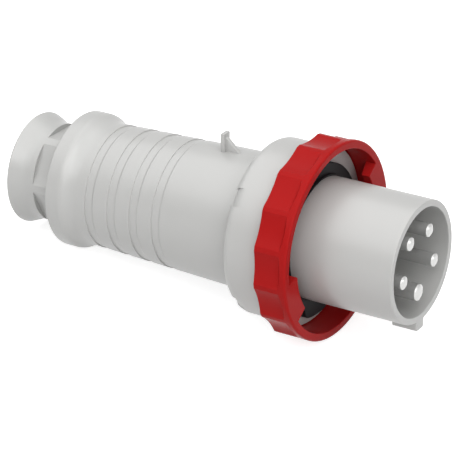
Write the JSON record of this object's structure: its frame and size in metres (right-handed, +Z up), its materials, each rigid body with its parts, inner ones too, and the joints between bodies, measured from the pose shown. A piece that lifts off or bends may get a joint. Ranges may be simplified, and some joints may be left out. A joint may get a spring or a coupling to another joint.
{
  "type": "pin and sleeve plug",
  "caption": "Industrial pin and sleeve plug: shrouded contact pins, red bayonet locking ring, tapered grey handle with a lug, and a trumpet gland nut for the cord.",
  "frame": {"origin": "on the plug's axis, in the plane of the gasket's front face, where the plug seals against its socket", "axes": "+X along the plug's axis towards the open mouth and the pins' tips, +Z up through the lug on the handle with the key and earth pin at -Z, +Y to the right when looking into the mouth with +Z up"},
  "size_m": [0.256, 0.1154, 0.1154],
  "materials": {
    "body_grey": "satin moulded polyamide",
    "ring_red": "satin moulded polyamide",
    "insert_grey": "matt moulded insulator",
    "black_rubber": "matt",
    "pin_metal": "bright nickel plate on brass",
    "screw_steel": "zinc plated",
    "brass": "turned"
  },
  "bodies": {
    "plug_body": {"sleeve_housing": "body_grey", "face_gasket": "black_rubber", "housing_seal": "black_rubber", "handle_shell": "body_grey", "contact_carrier": "insert_grey", "carrier_plate": "insert_grey", "carrier_plate_screw": "screw_steel", "pin_earth": "pin_metal", "pin_line_1": "pin_metal", "pin_line_2": "pin_metal", "pin_line_3": "pin_metal", "pin_neutral": "pin_metal", "clamp_screws_earth": "screw_steel", "clamp_screws_line_1": "screw_steel", "clamp_screws_line_2": "screw_steel", "clamp_screws_line_3": "screw_steel", "clamp_screws_neutral": "screw_steel", "housing_screw_right": "screw_steel", "housing_screw_left": "screw_steel", "boss_inserts": "brass", "cord_clamp": "insert_grey", "cord_clamp_screw_left": "screw_steel", "cord_clamp_screw_right": "screw_steel", "gland_seal": "black_rubber"},
    "bayonet_ring": {"locking_ring": "ring_red"},
    "gland_carriage": {"gland_thrust_ring": "insert_grey"},
    "gland_nut_body": {"gland_nut": "body_grey"}
  },
  "joints": [
    {"name": "locking_ring_turn", "type": "hinge", "parent": "plug_body", "child": "bayonet_ring", "pos_m": [0, 0, 0], "axis": [1, 0, 0], "range_deg": [0, 60]},
    {"name": "gland_thrust_slide", "type": "slide", "parent": "plug_body", "child": "gland_carriage", "axis": [1, 0, 0], "range_m": [-0.0065, 0.0025]},
    {"name": "gland_nut_turn", "type": "hinge", "parent": "gland_carriage", "child": "gland_nut_body", "pos_m": [-0.16, 0, 0], "axis": [1, 0, 0], "range_deg": [-720, 270]}
  ],
  "couplings": [
    {"joint": "gland_thrust_slide", "follows": "gland_nut_turn", "m_per_rad": 0.00047746}
  ]
}
